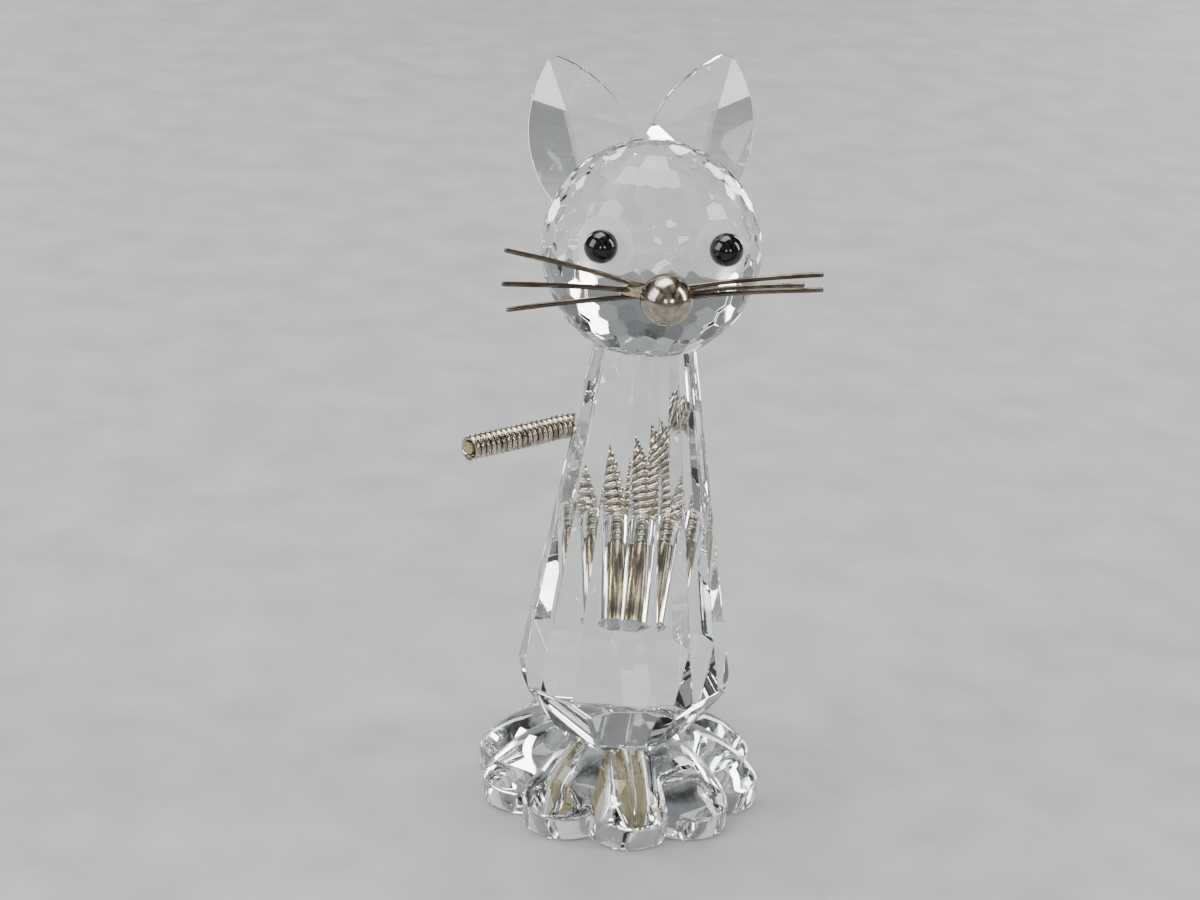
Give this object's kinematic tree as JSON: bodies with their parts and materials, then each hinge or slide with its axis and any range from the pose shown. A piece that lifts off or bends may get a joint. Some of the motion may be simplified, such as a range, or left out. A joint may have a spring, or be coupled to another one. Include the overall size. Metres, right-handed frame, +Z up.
{
  "type": "crystal glass figurine",
  "caption": "Seated cat built from facetted clear glass pieces on a petalled foot, with bead eyes, metal nose and whiskers, and a wound metal tail that bends.",
  "frame": {"origin": "centre of the foot's flat underside", "axes": "+Z up through the body's axis, -Y the way the cat faces, +X to the right seen from the front. Left and right in names are as seen from the front, so left is -X"},
  "size_m": [0.03, 0.0283, 0.0711],
  "materials": {
    "clear_glass": "cut and polished",
    "black_glass": "fire-polished bead",
    "plated_metal": "polished plate",
    "solder": "as flowed",
    "wire": "drawn",
    "tail_winding": "plated wire",
    "tail_core": "drawn",
    "tail_cement": "cured cement"
  },
  "bodies": {
    "figure": {"foot_rosette": "clear_glass", "body_prism": "clear_glass", "head_ball": "clear_glass", "ear_left": "clear_glass", "ear_right": "clear_glass", "eye_left": "black_glass", "eye_right": "black_glass", "nose_ball": "plated_metal", "nose_solder": "solder", "whisker_upper": "wire", "whisker_middle": "wire", "whisker_lower": "wire", "tail_cement": "tail_cement", "tail_root_sleeve": "tail_winding", "tail_root_core": "tail_core"},
    "tail_link_1": {"tail_sleeve_1": "tail_winding", "tail_core_1": "tail_core"},
    "tail_link_2": {"tail_sleeve_2": "tail_winding", "tail_core_2": "tail_core"},
    "tail_link_3": {"tail_sleeve_3": "tail_winding", "tail_core_3": "tail_core"},
    "tail_link_4": {"tail_sleeve_4": "tail_winding", "tail_core_4": "tail_core"},
    "tail_link_5": {"tail_sleeve_5": "tail_winding", "tail_core_5": "tail_core"},
    "tail_link_6": {"tail_sleeve_6": "tail_winding", "tail_core_6": "tail_core"},
    "tail_link_7": {"tail_sleeve_7": "tail_winding", "tail_core_7": "tail_core"}
  },
  "joints": [
    {"name": "tail_bend_1", "type": "hinge", "parent": "figure", "child": "tail_link_1", "pos_m": [0.00133, 0.00946, 0.02599], "axis": [0.4429, -0.7143, 0.5418], "range_deg": [-17, 8]},
    {"name": "tail_bend_2", "type": "hinge", "parent": "tail_link_1", "child": "tail_link_2", "pos_m": [0.00094, 0.01105, 0.0284], "axis": [-0.7148, -0.6461, -0.2676], "range_deg": [-18, 18]},
    {"name": "tail_bend_3", "type": "hinge", "parent": "tail_link_2", "child": "tail_link_3", "pos_m": [-0.00063, 0.01183, 0.03072], "axis": [0.4429, -0.7143, 0.5418], "range_deg": [-17, 8]},
    {"name": "tail_bend_4", "type": "hinge", "parent": "tail_link_3", "child": "tail_link_4", "pos_m": [-0.00301, 0.01162, 0.03238], "axis": [0.0669, -0.5763, -0.8145], "range_deg": [-18, 18]},
    {"name": "tail_bend_5", "type": "hinge", "parent": "tail_link_4", "child": "tail_link_5", "pos_m": [-0.00562, 0.01046, 0.03298], "axis": [0.4429, -0.7143, 0.5418], "range_deg": [-20, 20]},
    {"name": "tail_bend_6", "type": "hinge", "parent": "tail_link_5", "child": "tail_link_6", "pos_m": [-0.00893, 0.00841, 0.03298], "axis": [0.2855, -0.4605, -0.8405], "range_deg": [-18, 18]},
    {"name": "tail_bend_7", "type": "hinge", "parent": "tail_link_6", "child": "tail_link_7", "pos_m": [-0.01225, 0.00635, 0.03298], "axis": [0.4429, -0.7143, 0.5418], "range_deg": [-20, 20]}
  ]
}
